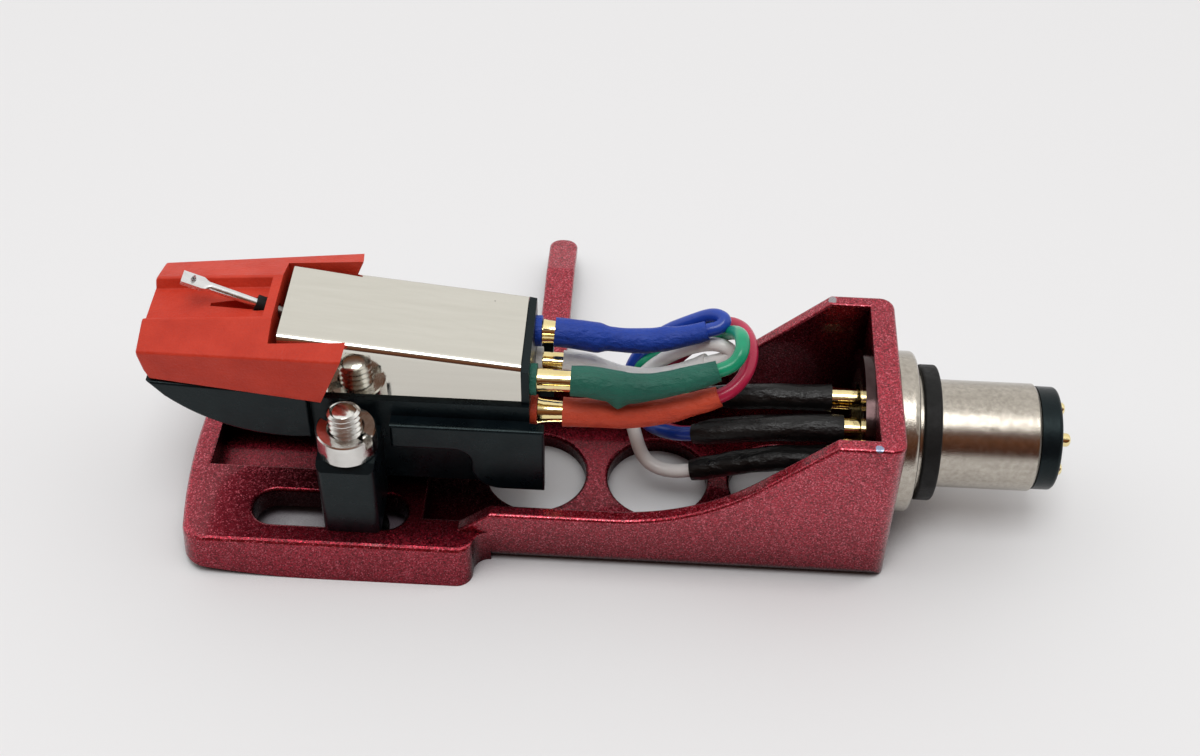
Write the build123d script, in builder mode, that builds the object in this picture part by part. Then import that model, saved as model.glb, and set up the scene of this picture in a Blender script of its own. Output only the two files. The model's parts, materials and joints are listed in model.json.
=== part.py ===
from build123d import *
import math
import os

os.makedirs("parts", exist_ok=True)

# Frame: the shell lies on its outer face at z = 0, the plug points to +X, the finger lift to +Y,
# and x = 0, y = 0 is midway between the two cartridge screws.

# Clearances
fit_gap = 0.02          # pins in their seats
slip_gap = 0.1          # pieces that slide on each other
wire_gap = 0.07         # wire inside a sleeve

# Headshell plate
screw_half_pitch = 6.35  # half of the half-inch screw spacing
plate_half_width = 9.9
plate_flare = 0.7        # how much wider the plate is at its outer face
plate_top = 3.15
front_reach = 13.4       # front edge ahead of the screws
front_bow = 0.7
front_corner = 1.5
plate_edge = 0.4         # rounding along the top of the plate
plate_rear = 7.7
step_length = 2.4        # S-shaped step from the plate to the neck
underside_radius = 64.0  # outer face rises towards the front
underside_flat = 2.0     # reach of its flat part ahead of the screws
slot_centre = -2.0
slot_length = 11.6
slot_width = 3.3
slot_web = 1.95          # plate left between a slot and the pocket under it
pocket_length = 13.8
pocket_width = 5.4
recess_front = -11.75
recess_half_width = 2.4

# Neck and terminal box
neck_half_width = 7.9
side_wall = 1.1
rear_wall = 1.85
web_top = 1.25
rail_top = 5.05
rail_end = 19.0
rise_radius = 15.4
rise_angle = 43.0
box_top = 14.0
box_rear = 39.4
cavity_front = 5.0
hole_dia = 7.7
hole_pitch = 9.4
hole_middle = 22.3
box_edge = 1.1
rim_edge = 0.35
rail_edge = 0.3
channel_edge = 0.2
hole_edge = 0.25
slot_edge = 0.3

# Finger lift
lift_x = 13.3
lift_width = 2.4
lift_thick = 1.0
lift_edge = 0.25
lift_root_z = 3.3
lift_crease_y = 21.4
lift_tip_y = 26.2
lift_tip_drop = 0.9

# Bayonet plug
plug_axis = 7.8
tube_radius = 4.0
tube_bore = 3.35
tube_length = 10.5       # from the rear wall of the box
spigot_radius = 4.5
flange_radius = 6.0
flange_thick = 1.4
shoulder_radius = 4.6
shoulder_thick = 0.4
gasket_radius = 5.05
gasket_thick = 1.3
lock_ring_radius = 6.0
lock_ring_thick = 0.7
guide_pin_place = 6.3    # from the rear wall of the box
guide_pin_radius = 0.9
guide_pin_proud = 1.0
insulator_radius = 3.83
insulator_proud = 1.5
contact_offset = 1.57    # contacts at 45 degrees on a 4.44 mm circle
contact_radius = 0.5
contact_proud = 0.8
contact_tail = 2.65      # reach of the contacts into the box

# Cartridge body
post_height = 7.05
post_length = 4.2
post_outer = 8.5         # outer face of a post from the middle plane
post_bore = 1.36
post_chamfer = 0.6
post_edge = 0.5
core_half_width = 4.2
core_lift = 1.6          # gap under the core
core_rear = 12.85        # rear face of the end plate
end_plate = 0.55
end_plate_drop = 0.35    # below the top of the shield
wing_rise = 2.6          # from the posts to the ledge that the shield stands on
wing_half_width = 5.3
wing_inner = 4.4         # the wings reach past the end plate on both sides of it
wing_step = 1.45         # below the ledge
wing_front = 2.85
wing_rear = 13.95
wing_depth = 2.25
wing_edge = 0.22
heel_depth = 6.3
heel_front = 7.3         # where the underside of a wing turns down
heel_bend = (1.3, 1.5)   # run and drop of the first bend
heel_toe = 3.5           # run to the end of the second bend
nose_half_width = 4.9
nose_front = -14.3
nose_rear = -2.9
nose_depth = 3.45        # below the ledge
nose_chin_run = 1.1
nose_chin_drop = 1.45
nose_belly_place = 4.9   # behind the nose front
nose_belly_rise = 0.95
nose_edge = 0.2
seat_rise = 1.55         # from the ledge to the stylus seat at the nose front
seat_tilt = 3.7          # degrees, falling to the rear
coil_bay_front = 2.5
coil_bay_rear = 9.0
coil_bay_half_width = 3.3
coil_bay_lift = 2.5      # above the underside of the core
terminal_half_pitch = 2.5
terminal_rise = 1.2      # upper terminals above the ledge
terminal_drop = 2.0      # lower terminals below it

# Shield
shield_half_width = 3.9
shield_sheet = 0.4
shield_front = -4.7
shield_rise = 0.52       # above the ridges of the stylus holder at its front
shield_tilt = 6.5
shield_fold = 0.6

# Screws and nuts
screw_radius = 1.25
screw_proud = 1.75       # beyond the nut
screw_head_radius = 2.3
screw_head = 1.05
screw_slot = 0.6
nut_radius = 2.15
nut_height = 2.0
nut_notch = 0.75

# Stylus holder
holder_front = -14.6
holder_depth = 3.48      # from the seat to the top of the ridges, at the front
holder_front_half = 4.72
holder_rear_half = 5.75
holder_brow = 1.2        # upright part of the front face
holder_lip = 2.6
holder_lip_run = 0.25
holder_edge = 0.25
groove_edge = 0.15
ridge_half_width = 2.3
ridge_tilt = 4.75        # degrees, rising to the rear
roof_fall = 0.318        # fall of the roof per unit of width beside the ridges
arm_end = 0.2
arm_foot = -1.8
arm_tip = 0.7            # upright part of the arm's end
arm_gap = 0.3            # between an arm and the shield
bridge_rear = -5.26
groove_rear = -5.95
groove_depth = 0.7
groove_slope = 0.45
groove_inset = 0.15
slit_front = -10.2
slit_tip_half = 0.15
slit_half_width = 0.75
slit_depth = 1.85
tongue_rear = -1.5
tongue_half_width = 1.9
tongue_gap = 0.5         # over the saddle of the body and under the pole pieces

# Stylus
pivot_inset = 0.5        # ahead of the rear end of the groove
pivot_depth = 0.81       # below the ridges
cantilever_angle = 23.2
cantilever_radius = 0.33
cantilever_reach = 5.88
cantilever_tail = 0.75
flat_length = 1.5
flat_taper = 0.6
flat_width = 1.15
flat_thick = 0.32
tip_inset = 0.8
tip_radius = 0.17
tip_shank = 0.3
tip_cone = 0.3
damper_radius = 0.62
damper_half_length = 0.45
magnet_radius = 0.36
magnet_length = 1.55

# Pole pieces and coils
pole_front = -4.2
pole_inner = 0.9
pole_thick = 0.7
pole_drop = 1.0          # below the pivot
pole_height = 0.6
coil_x = 5.0
coil_radius = 1.3
coil_gap = 1.7           # between a coil and the bar of its pole piece

# Leads
terminal_radius = 0.6
terminal_root = 2.65     # held in the body
terminal_proud = 3.5
ring_radius = 1.15
ring_thick = 0.45
clip_wall = 0.2
clip_length = 3.9
clip_grip = 1.3          # of the shell's clips, ahead of the contacts
clip_seat = 2.3          # of the shell's clips, on the contacts
wire_radius = 0.55
sleeve_wall = 0.2
sleeve_run = 1.7         # straight run of a sleeve behind its clip
sleeve_bend_radius = 8.0
black_run = 3.5          # straight run of a black sleeve ahead of its contact
corner_share = 0.45      # share of the shorter run that a bend takes up
lead_span = 24.7         # from the end plate to the rear wall, as the routes below are drawn

# Past the end of a solid, so that a cut goes right through
overrun = 3.0

# Values that follow from the ones above
neck_start = plate_rear + step_length
box_inner = box_rear - rear_wall
tube_end = box_rear + tube_length
guide_pin_x = box_rear + guide_pin_place
contact_inner_end = box_inner - contact_tail
inner_half_width = neck_half_width - side_wall
pocket_depth = plate_top - slot_web
flange_end = box_rear + flange_thick
shoulder_end = flange_end + shoulder_thick
post_top = plate_top + post_height
wing_top = post_top + wing_rise
core_floor = plate_top + core_lift
coil_bay_floor = core_floor + coil_bay_lift
seat_front = wing_top + seat_rise
ridge_height = seat_front + holder_depth
shield_front_top = ridge_height + shield_rise
shield_rear = core_rear - end_plate - fit_gap
shield_rear_top = shield_front_top - (shield_rear - shield_front) * math.tan(math.radians(shield_tilt))
seat_slope = math.tan(math.radians(seat_tilt))
ridge_slope = math.tan(math.radians(ridge_tilt))
shield_notch = seat_front - (shield_front - nose_front) * seat_slope + arm_gap
pivot_x = groove_rear - pivot_inset
pivot = Vector(pivot_x, 0, ridge_height + (pivot_x - holder_front) * ridge_slope - pivot_depth)
pole_high = pivot.Z - pole_drop
pole_low = pole_high - pole_height
tongue_low = shield_notch + tongue_gap
tongue_high = pole_low - tongue_gap
slit_floor = ridge_height + (groove_rear - holder_front) * ridge_slope - slit_depth
terminal_inner_end = core_rear - terminal_root
terminal_outer_end = core_rear + terminal_proud
clip_start = core_rear + ring_thick + slip_gap / 2
clip_reach = clip_start + clip_length
arm_inner = shield_half_width + arm_gap
core_top_half = shield_half_width - shield_sheet - slip_gap
aim = Vector(-math.cos(math.radians(cantilever_angle)), 0, math.sin(math.radians(cantilever_angle)))
aim_up = Vector(math.sin(math.radians(cantilever_angle)), 0, math.cos(math.radians(cantilever_angle)))
plug_line = Axis((0, 0, plug_axis), (1, 0, 0))


def seat_height(x):
    return seat_front - (x - nose_front) * seat_slope


def finish(piece, name):
    piece.part.label = name
    export_step(piece.part, "parts/" + name + ".step")


def plate_section(half_width, height, inset=0):
    with BuildSketch(Plane.XY.offset(height)) as section:
        with BuildLine():
            bow_end = (front_bow - front_reach + inset, half_width - front_corner)
            front = TangentArc((inset - front_reach, 0), bow_end, tangent=(0, 1))
            corner = TangentArc(front @ 1, (bow_end[0] + front_corner, half_width), tangent=front % 1)
            Line(corner @ 1, (plate_rear, half_width))
            half_way = (plate_rear + step_length / 2, (half_width + neck_half_width) / 2)
            turn_in = TangentArc((plate_rear, half_width), half_way, tangent=(1, 0))
            turn_out = TangentArc(turn_in @ 1, (neck_start, neck_half_width), tangent=turn_in % 1)
            Line(turn_out @ 1, (neck_start, 0))
            mirror(about=Plane.XZ)
        make_face()
    return section.sketch.face()


# Headshell: neck and terminal box first, then the plate, then everything that is cut out
with BuildPart() as headshell:
    with BuildSketch(Plane.XZ):
        with BuildLine():
            rise_run = rise_radius * math.sin(math.radians(rise_angle))
            rise_lift = rise_radius * (1 - math.cos(math.radians(rise_angle)))
            rise_end = (rail_end + rise_run, rail_top + rise_lift)
            crest = (rise_end[0] + (box_top - rise_end[1]) / math.tan(math.radians(rise_angle)), box_top)
            Polyline(
                (rail_end, rail_top), (neck_start, rail_top), (plate_rear, plate_top),
                (plate_rear, 0), (box_rear, 0), (box_rear, box_top), crest, rise_end,
            )
            TangentArc((rail_end, rail_top), rise_end, tangent=(1, 0))
        make_face()
    extrude(amount=neck_half_width, both=True)
    rear_edges = headshell.edges().filter_by(Axis.Z).group_by(Axis.X)[-1]
    floor_edges = headshell.faces().sort_by(Axis.Z)[0].edges().filter_by(Axis.X)
    fillet(rear_edges + floor_edges, box_edge)
    rail_lines = headshell.faces().sort_by(Axis.Z)[-1].edges()
    for side in (0, -1):
        rail_face = headshell.faces().filter_by(Axis.Y).sort_by(Axis.Y)[side]
        rail_lines += rail_face.edges().filter_by_position(Axis.Z, rail_top - 0.1, box_top - 0.1).filter_by(
            Axis.Z, reverse=True)
    fillet(rail_lines, rail_edge)

    plate_foot = plate_section(plate_half_width + plate_flare, 0)
    plate_slices = [plate_foot, plate_section(plate_half_width, plate_top - plate_edge)]
    for angle in (30, 60, 90):
        inset = plate_edge * (1 - math.cos(math.radians(angle)))
        height = plate_top - plate_edge * (1 - math.sin(math.radians(angle)))
        plate_slices.append(plate_section(plate_half_width - inset, height, inset))
    loft(plate_slices, ruled=True)

    # Channel between the side walls, with the recess of the plate in front of it
    with BuildSketch(Plane.XY.offset(web_top)):
        with Locations(((cavity_front + box_inner) / 2, 0)):
            Rectangle(box_inner - cavity_front, 2 * inner_half_width)
        with Locations(((recess_front + cavity_front + 1) / 2, 0)):
            Rectangle(cavity_front + 1 - recess_front, 2 * recess_half_width)
    extrude(amount=box_top, mode=Mode.SUBTRACT)
    channel_lines = headshell.edges(Select.LAST).filter_by(Axis.Z, reverse=True)
    channel_lines = channel_lines.filter_by_position(Axis.Z, plate_top - rim_edge, box_top + rim_edge)
    fillet(channel_lines, channel_edge)

    # Outer face curving up towards the front
    with BuildSketch(Plane.XZ):
        with BuildLine():
            nose_x = -front_reach - 1
            nose_z = underside_radius - math.sqrt(underside_radius**2 - (nose_x + underside_flat) ** 2)
            TangentArc((-underside_flat, 0), (nose_x, nose_z), tangent=(-1, 0))
            Polyline((nose_x, nose_z), (nose_x, -1), (-underside_flat, -1), (-underside_flat, 0))
        make_face()
    extrude(amount=2 * plate_half_width, both=True, mode=Mode.SUBTRACT)

    # Screw slots with pockets for the heads, and the round holes of the neck
    with BuildSketch(Plane.XY):
        with Locations((slot_centre, screw_half_pitch), (slot_centre, -screw_half_pitch)):
            SlotOverall(slot_length, slot_width)
        with Locations((hole_middle, 0)):
            with GridLocations(hole_pitch, 1, 3, 1):
                Circle(hole_dia / 2)
    extrude(amount=plate_top + 1, mode=Mode.SUBTRACT)
    rims = headshell.edges(Select.LAST)
    fillet(rims.filter_by_position(Axis.Z, plate_top - 0.1, plate_top + 0.1), slot_edge)
    fillet(rims.filter_by_position(Axis.Z, web_top - 0.1, web_top + 0.1), hole_edge)
    with BuildSketch(Plane.XY):
        with Locations((slot_centre, screw_half_pitch), (slot_centre, -screw_half_pitch)):
            SlotOverall(pocket_length, pocket_width)
    extrude(amount=pocket_depth, mode=Mode.SUBTRACT)

    # Seat of the plug in the rear wall
    with BuildSketch(Plane.YZ.offset(box_inner)):
        with Locations((0, plug_axis)):
            Circle(spigot_radius + fit_gap)
    extrude(amount=rear_wall, mode=Mode.SUBTRACT)

    # Finger lift, bent down at the tip
    with BuildSketch(Plane.YZ.offset(lift_x - lift_width / 2)):
        with BuildLine():
            Polyline(
                (neck_half_width - side_wall, lift_root_z), (lift_crease_y, lift_root_z),
                (lift_tip_y, lift_root_z - lift_tip_drop),
                (lift_tip_y, lift_root_z - lift_tip_drop - lift_thick),
                (lift_crease_y, lift_root_z - lift_thick),
                (neck_half_width - side_wall, lift_root_z - lift_thick), close=True,
            )
        make_face()
    extrude(amount=lift_width)
    lift_corners = headshell.faces().sort_by(Axis.Y)[-1].edges().filter_by(Axis.Z)
    fillet(lift_corners, lift_width * 0.45)
    lift_lines = headshell.edges().filter_by_position(Axis.X, lift_x - lift_width, lift_x + lift_width)
    lift_lines = lift_lines.filter_by_position(Axis.Y, neck_half_width + rim_edge, lift_tip_y + rim_edge)
    fillet(lift_lines, lift_edge)
finish(headshell, "headshell")

# Bayonet collar: flange, shoulder for the gasket and tube, with a spigot through the rear wall
ring_face = box_inner - lock_ring_thick
with BuildPart() as bayonet_collar:
    with BuildSketch(Plane.XZ):
        with BuildLine():
            Polyline(
                (ring_face, plug_axis + tube_bore), (ring_face, plug_axis + spigot_radius),
                (box_rear, plug_axis + spigot_radius), (box_rear, plug_axis + flange_radius),
                (flange_end, plug_axis + flange_radius), (flange_end, plug_axis + shoulder_radius),
                (shoulder_end, plug_axis + shoulder_radius), (shoulder_end, plug_axis + tube_radius),
                (tube_end, plug_axis + tube_radius), (tube_end, plug_axis + tube_bore), close=True,
            )
        make_face()
    revolve(axis=plug_line)
    mouth = bayonet_collar.edges().filter_by(GeomType.CIRCLE).group_by(Axis.X)[-1].sort_by(SortBy.RADIUS)[-1]
    chamfer(mouth, 0.25)
    rim = bayonet_collar.edges().filter_by(GeomType.CIRCLE).filter_by_position(Axis.X, flange_end, flange_end)
    fillet(rim.sort_by(SortBy.RADIUS)[-1], 0.4)
    with BuildSketch(Plane.XY.offset(plug_axis - tube_bore)):
        with Locations((guide_pin_x, 0)):
            Circle(guide_pin_radius)
    extrude(amount=-tube_radius, mode=Mode.SUBTRACT)
finish(bayonet_collar, "bayonet_collar")

with BuildPart() as collar_lock_ring:
    with BuildSketch(Plane.YZ.offset(ring_face)):
        with Locations((0, plug_axis)):
            Circle(lock_ring_radius)
            Circle(spigot_radius + fit_gap, mode=Mode.SUBTRACT)
    extrude(amount=lock_ring_thick)
finish(collar_lock_ring, "collar_lock_ring")

with BuildPart() as locating_pin:
    with BuildSketch(Plane.XY.offset(plug_axis - tube_bore - slip_gap)):
        with Locations((guide_pin_x, 0)):
            Circle(guide_pin_radius - fit_gap)
    extrude(amount=-(tube_radius + guide_pin_proud - tube_bore - slip_gap))
    fillet(locating_pin.faces().sort_by(Axis.Z)[0].edges(), 0.25)
finish(locating_pin, "locating_pin")

with BuildPart() as gasket:
    with BuildSketch(Plane.YZ.offset(shoulder_end)):
        with Locations((0, plug_axis)):
            Circle(gasket_radius)
            Circle(tube_radius + fit_gap, mode=Mode.SUBTRACT)
    extrude(amount=gasket_thick)
    outer_rims = gasket.edges().filter_by(GeomType.CIRCLE).sort_by(SortBy.RADIUS)[-2:]
    fillet(outer_rims, 0.2)
finish(gasket, "gasket")

# Contacts and the insulator that carries them
contacts = {
    "near_high": (-contact_offset, plug_axis + contact_offset),
    "near_low": (-contact_offset, plug_axis - contact_offset),
    "far_high": (contact_offset, plug_axis + contact_offset),
    "far_low": (contact_offset, plug_axis - contact_offset),
}
insulator_end = tube_end + insulator_proud
with BuildPart() as terminal_insulator:
    with BuildSketch(Plane.YZ.offset(box_inner)):
        with Locations((0, plug_axis)):
            Circle(tube_bore - fit_gap)
    extrude(amount=tube_end - box_inner)
    with BuildSketch(Plane.YZ.offset(tube_end)):
        with Locations((0, plug_axis)):
            Circle(insulator_radius)
    extrude(amount=insulator_proud)
    fillet(terminal_insulator.faces().sort_by(Axis.X)[-1].edges(), 0.3)
    with BuildSketch(Plane.YZ.offset(box_inner)):
        with Locations(*contacts.values()):
            Circle(contact_radius + fit_gap)
    extrude(amount=insulator_end - box_inner, mode=Mode.SUBTRACT)
finish(terminal_insulator, "terminal_insulator")

for place, centre in contacts.items():
    with BuildPart() as contact_pin:
        with BuildSketch(Plane.YZ.offset(contact_inner_end)):
            with Locations(centre):
                Circle(contact_radius)
        extrude(amount=insulator_end + contact_proud - contact_inner_end)
        fillet(contact_pin.faces().sort_by(Axis.X)[-1].edges(), contact_radius * 0.6)
    finish(contact_pin, "contact_pin_" + place)

# Cartridge body
terminals = {
    "green": (-terminal_half_pitch, wing_top + terminal_rise),
    "red": (-terminal_half_pitch, wing_top - terminal_drop),
    "blue": (terminal_half_pitch, wing_top + terminal_rise),
    "white": (terminal_half_pitch, wing_top - terminal_drop),
}
with BuildPart() as cartridge_body:
    # Nose under the stylus holder
    chin = (nose_front + nose_chin_run, seat_front - nose_chin_drop)
    nose_floor = wing_top - nose_depth
    with BuildSketch(Plane.XZ):
        with BuildLine():
            Polyline(
                chin, (nose_front, seat_front), (nose_rear, seat_height(nose_rear)), (nose_rear, nose_floor),
            )
            belly = (nose_front + nose_belly_place, nose_floor + nose_belly_rise)
            ThreePointArc((nose_rear, nose_floor), belly, chin)
        make_face()
    extrude(amount=nose_half_width, both=True)
    fillet(cartridge_body.edges().filter_by(Axis.Y, reverse=True), nose_edge)

    # Core between the posts, and the wings beside it
    with BuildSketch(Plane.XZ):
        with Locations(((nose_rear + core_rear) / 2, (core_floor + wing_top) / 2)):
            Rectangle(core_rear - nose_rear, wing_top - core_floor)
    extrude(amount=core_half_width, both=True)
    wing_roof = wing_top - wing_step
    skirt = wing_roof - wing_depth
    heel = wing_roof - heel_depth
    with BuildSketch(Plane.XZ):
        with BuildLine():
            first_bend = (heel_front + heel_bend[0], skirt - heel_bend[1])
            turn_down = TangentArc((heel_front, skirt), first_bend, tangent=(1, 0))
            turn_flat = TangentArc(first_bend, (heel_front + heel_toe, heel), tangent=turn_down % 1)
            Polyline(
                turn_flat @ 1, (wing_rear, heel), (wing_rear, wing_roof), (wing_front, wing_roof),
                (wing_front, skirt), (heel_front, skirt),
            )
        make_face()
    extrude(amount=wing_half_width, both=True)
    for side in (0, -1):
        wing_face = cartridge_body.faces().filter_by(Axis.Y).sort_by(Axis.Y)[side]
        fillet(wing_face.edges(), wing_edge)
    with BuildSketch(Plane.XZ):
        with Locations(((core_rear + wing_rear + overrun) / 2, wing_top / 2)):
            Rectangle(wing_rear + overrun - core_rear, 2 * wing_top)
    extrude(amount=wing_inner, both=True, mode=Mode.SUBTRACT)

    # End plate, terminal block and front saddle inside the shield
    with BuildSketch(Plane.XZ):
        with BuildLine():
            end_plate_top = shield_rear_top - end_plate_drop
            Polyline(
                (core_rear - end_plate, wing_top), (core_rear, wing_top),
                (core_rear, end_plate_top - end_plate / 5), (core_rear - end_plate, end_plate_top), close=True,
            )
        make_face()
    extrude(amount=shield_half_width, both=True)
    block_top = end_plate_top - shield_sheet - slip_gap
    with BuildSketch(Plane.XY.offset(wing_top)):
        with Locations(((coil_bay_rear + core_rear) / 2, 0)):
            Rectangle(core_rear - coil_bay_rear, 2 * core_top_half)
    extrude(amount=block_top - wing_top)
    with BuildSketch(Plane.XY.offset(wing_top)):
        with Locations(((nose_rear + coil_bay_front) / 2, 0)):
            Rectangle(coil_bay_front - nose_rear, 2 * core_top_half)
    extrude(amount=shield_notch - wing_top)

    # Mounting posts
    post_width = post_outer - core_half_width
    with BuildSketch(Plane.XY.offset(plate_top)):
        for side in (1, -1):
            with Locations((0, side * (core_half_width + post_width / 2))):
                Rectangle(post_length, post_width)
    extrude(amount=post_top - plate_top)
    for side in (0, -1):
        post_face = cartridge_body.faces().filter_by(Axis.Y).sort_by(Axis.Y)[side]
        chamfer(post_face.edges().filter_by(Axis.X).sort_by(Axis.Z)[-1], post_chamfer)
    for side in (0, -1):
        post_face = cartridge_body.faces().filter_by(Axis.Y).sort_by(Axis.Y)[side]
        fillet(post_face.edges().filter_by(Axis.Z), post_edge)
    with BuildSketch(Plane.XY.offset(plate_top)):
        with Locations((0, screw_half_pitch), (0, -screw_half_pitch)):
            Circle(post_bore)
    extrude(amount=post_top - plate_top, mode=Mode.SUBTRACT)

    # Bay for the coils and holes for the terminals
    with BuildSketch(Plane.XY.offset(coil_bay_floor)):
        with Locations(((coil_bay_front + coil_bay_rear) / 2, 0)):
            Rectangle(coil_bay_rear - coil_bay_front, 2 * coil_bay_half_width)
    extrude(amount=shield_front_top - coil_bay_floor, mode=Mode.SUBTRACT)
    with BuildSketch(Plane.YZ.offset(terminal_inner_end)):
        with Locations(*terminals.values()):
            Circle(terminal_radius + fit_gap)
    extrude(amount=core_rear - terminal_inner_end, mode=Mode.SUBTRACT)
finish(cartridge_body, "cartridge_body")

# Shield: a folded sheet, standing on the ledge of the body
with BuildPart() as shield:
    foot_front = nose_rear + 2 * slip_gap
    with BuildSketch(Plane.XZ):
        with BuildLine():
            Polyline(
                (shield_front, shield_notch), (foot_front, shield_notch), (foot_front, wing_top),
                (shield_rear, wing_top), (shield_rear, shield_rear_top), (shield_front, shield_front_top),
                close=True,
            )
        make_face()
    extrude(amount=shield_half_width, both=True)
    fillet(shield.faces().sort_by(Axis.Z)[-1].edges().group_by(SortBy.LENGTH)[-1], shield_fold)
    drop = shield_sheet / math.cos(math.radians(shield_tilt))
    with BuildSketch(Plane.XZ):
        with BuildLine():
            Polyline(
                (shield_front, shield_front_top - drop), (shield_rear, shield_rear_top - drop),
                (shield_rear, 0), (shield_front, 0), close=True,
            )
        make_face()
    extrude(amount=shield_half_width - shield_sheet, both=True, mode=Mode.SUBTRACT)
finish(shield, "shield")

# Screws and nuts: two of each
with BuildPart() as mounting_screws:
    with BuildSketch(Plane.XY.offset(pocket_depth - screw_head)):
        with Locations((0, screw_half_pitch), (0, -screw_half_pitch)):
            Circle(screw_head_radius)
    extrude(amount=screw_head)
    with BuildSketch(Plane.XY.offset(pocket_depth)):
        with Locations((0, screw_half_pitch), (0, -screw_half_pitch)):
            Circle(screw_radius)
    extrude(amount=post_top + nut_height + screw_proud - pocket_depth)
    chamfer(mounting_screws.faces().filter_by(Axis.Z).group_by(Axis.Z)[-1].edges(), 0.25)
    with BuildSketch(Plane.XY.offset(pocket_depth - screw_head)):
        with Locations((0, screw_half_pitch), (0, -screw_half_pitch)):
            Rectangle(3 * screw_head_radius, screw_slot)
    extrude(amount=screw_head / 2, mode=Mode.SUBTRACT)
finish(mounting_screws, "mounting_screws")

with BuildPart() as mounting_nuts:
    with BuildSketch(Plane.XY.offset(post_top)):
        with Locations((0, screw_half_pitch), (0, -screw_half_pitch)):
            Circle(nut_radius)
            Circle(screw_radius + fit_gap, mode=Mode.SUBTRACT)
    extrude(amount=nut_height)
    with BuildSketch(Plane.XY.offset(post_top + nut_height)):
        with Locations((0, screw_half_pitch), (0, -screw_half_pitch)):
            Rectangle(3 * nut_radius, nut_notch)
    extrude(amount=-nut_height * 0.4, mode=Mode.SUBTRACT)
finish(mounting_nuts, "mounting_nuts")

# Stylus holder: side outline, trimmed by its plan and by its roof
with BuildPart() as stylus_holder:
    with BuildSketch(Plane.XZ):
        with BuildLine():
            Polyline(
                (holder_front, ridge_height - holder_brow),
                (holder_front + holder_lip_run, ridge_height - holder_lip),
                (nose_front + holder_lip_run, seat_height(nose_front + holder_lip_run) + slip_gap),
                (arm_foot, seat_height(arm_foot) + slip_gap),
                (arm_end, ridge_height + (arm_end - holder_front) * ridge_slope - arm_tip),
                (arm_end, ridge_height + overrun), (holder_front, ridge_height + overrun), close=True,
            )
        make_face()
    extrude(amount=2 * holder_rear_half, both=True)
    with BuildSketch(Plane.XY):
        with BuildLine():
            Polyline(
                (holder_front, holder_front_half), (arm_end, holder_rear_half),
                (arm_end, -holder_rear_half), (holder_front, -holder_front_half), close=True,
            )
        make_face()
    extrude(amount=3 * ridge_height, mode=Mode.INTERSECT)
    along = Vector(math.cos(math.radians(ridge_tilt)), 0, math.sin(math.radians(ridge_tilt)))
    roof_plane = Plane(origin=(holder_front, 0, ridge_height), x_dir=(0, 1, 0), z_dir=along)
    eave = 2 * holder_rear_half
    with BuildSketch(roof_plane.offset(-overrun)):
        with BuildLine():
            Polyline(
                (-ridge_half_width, 0), (ridge_half_width, 0),
                (eave, -(eave - ridge_half_width) * roof_fall), (eave, -ridge_height),
                (-eave, -ridge_height), (-eave, -(eave - ridge_half_width) * roof_fall), close=True,
            )
        make_face()
    extrude(amount=arm_end - holder_front + 2 * overrun, mode=Mode.INTERSECT)
    fillet(stylus_holder.edges().filter_by_position(Axis.X, holder_front, bridge_rear), holder_edge)

    # Room for the shield between the arms, and the tongue that locates the holder under it
    with BuildSketch(Plane.XY):
        with Locations(((bridge_rear + arm_end + overrun) / 2, 0)):
            Rectangle(arm_end + overrun - bridge_rear, 2 * arm_inner)
    extrude(amount=3 * ridge_height, mode=Mode.SUBTRACT)
    with BuildSketch(Plane.XY.offset(tongue_low)):
        with Locations(((groove_rear + tongue_rear) / 2, 0)):
            Rectangle(tongue_rear - groove_rear, 2 * tongue_half_width)
    extrude(amount=tongue_high - tongue_low)

    # Groove and slit for the cantilever, with the passage to the magnet
    groove_half = ridge_half_width - groove_inset
    groove_foot = groove_half - groove_slope
    with BuildSketch(roof_plane.offset(-overrun)):
        with BuildLine():
            Polyline(
                (-groove_half, groove_inset), (groove_half, groove_inset), (groove_foot, -groove_depth),
                (-groove_foot, -groove_depth), close=True,
            )
        make_face()
    extrude(amount=(groove_rear - holder_front) / along.X + overrun, mode=Mode.SUBTRACT)
    groove_lines = stylus_holder.edges(Select.LAST).sort_by(SortBy.LENGTH)[-4:]
    fillet(groove_lines, groove_edge)
    with BuildSketch(Plane.XY.offset(slit_floor)):
        with BuildLine():
            Polyline(
                (slit_front, slit_tip_half), (groove_rear, slit_half_width), (groove_rear, -slit_half_width),
                (slit_front, -slit_tip_half), close=True,
            )
        make_face()
    extrude(amount=ridge_height, mode=Mode.SUBTRACT)
    tail_plane = Plane(origin=pivot, x_dir=(0, 1, 0), z_dir=-aim)
    with BuildSketch(tail_plane.offset(-damper_half_length - slip_gap)):
        Circle(damper_radius + slip_gap)
    extrude(amount=2 * (damper_half_length + slip_gap), mode=Mode.SUBTRACT)
    with BuildSketch(tail_plane):
        Circle(magnet_radius + 2 * slip_gap)
    extrude(amount=cantilever_tail + magnet_length + 4 * slip_gap, mode=Mode.SUBTRACT)
finish(stylus_holder, "stylus_holder")

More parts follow.
